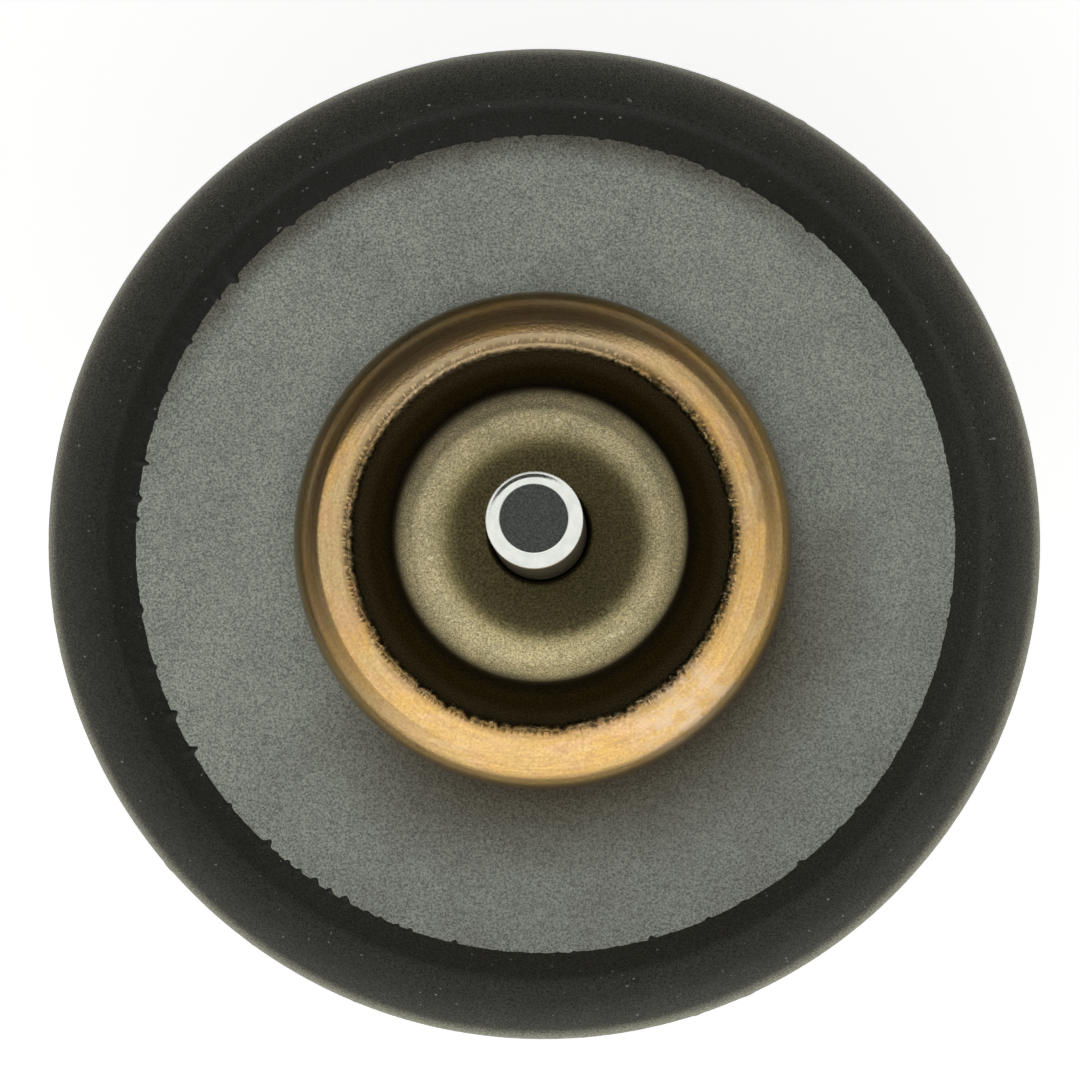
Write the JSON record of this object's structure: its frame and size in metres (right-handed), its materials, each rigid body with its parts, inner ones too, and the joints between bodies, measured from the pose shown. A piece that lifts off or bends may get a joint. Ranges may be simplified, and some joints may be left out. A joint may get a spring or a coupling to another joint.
{
  "type": "engine thermostat",
  "caption": "Wax-element coolant valve insert: rubber-edged plate, pin in a brass guide, main spring on an eared bracket, and a sprung bypass disc at the foot.",
  "frame": {"origin": "centre of the bypass disc's underside, the lowest face, on the pin's axis", "axes": "+Z along the pin towards its tip; +X towards one ear of the bracket"},
  "size_m": [0.04, 0.04, 0.0515],
  "materials": {
    "plate_steel": "fine matte plating on pressed steel",
    "seal_rubber": "moulded black rubber, satin",
    "cup_copper": "cold-formed copper, tumbled, slightly browned",
    "guide_brass": "turned brass, dull olive",
    "backup_plastic": "slippery white plastic",
    "boot_rubber": "soft rubber",
    "wax": "wax with copper powder",
    "pin_steel": "ground stainless steel, dark flat tip",
    "spring_steel": "drawn stainless spring wire",
    "bracket_steel": "pressed sheet, bright",
    "washer_steel": "stamped washer",
    "ring_steel": "dark spring steel",
    "disc_steel": "pressed sheet, satin"
  },
  "bodies": {
    "element": {"valve_plate": "plate_steel", "valve_seal": "seal_rubber", "wax_cup": "cup_copper", "piston_guide": "guide_brass", "backup_washer": "backup_plastic", "rubber_boot": "boot_rubber", "wax_pellet": "wax", "main_spring": "spring_steel", "stop_washer": "washer_steel", "stop_ring": "ring_steel", "bypass_spring": "spring_steel", "thrust_washer": "washer_steel", "retaining_clip": "ring_steel"},
    "piston": {"piston_pin": "pin_steel"},
    "bracket": {"spring_bracket": "bracket_steel"},
    "bypass": {"bypass_disc": "disc_steel"}
  },
  "joints": [
    {"name": "piston_travel", "type": "slide", "parent": "element", "child": "piston", "axis": [0, 0, 1], "range_m": [0, 0.008]},
    {"name": "valve_travel", "type": "slide", "parent": "element", "child": "bracket", "axis": [0, 0, 1], "range_m": [0, 0.008], "stiffness_N_per_m": 4750, "springref_m": -0.0025, "deforming": ["main_spring"]},
    {"name": "bypass_travel", "type": "slide", "parent": "element", "child": "bypass", "axis": [0, 0, 1], "range_m": [0, 0.003], "stiffness_N_per_m": 2700, "springref_m": -0.0034, "deforming": ["bypass_spring"]}
  ]
}
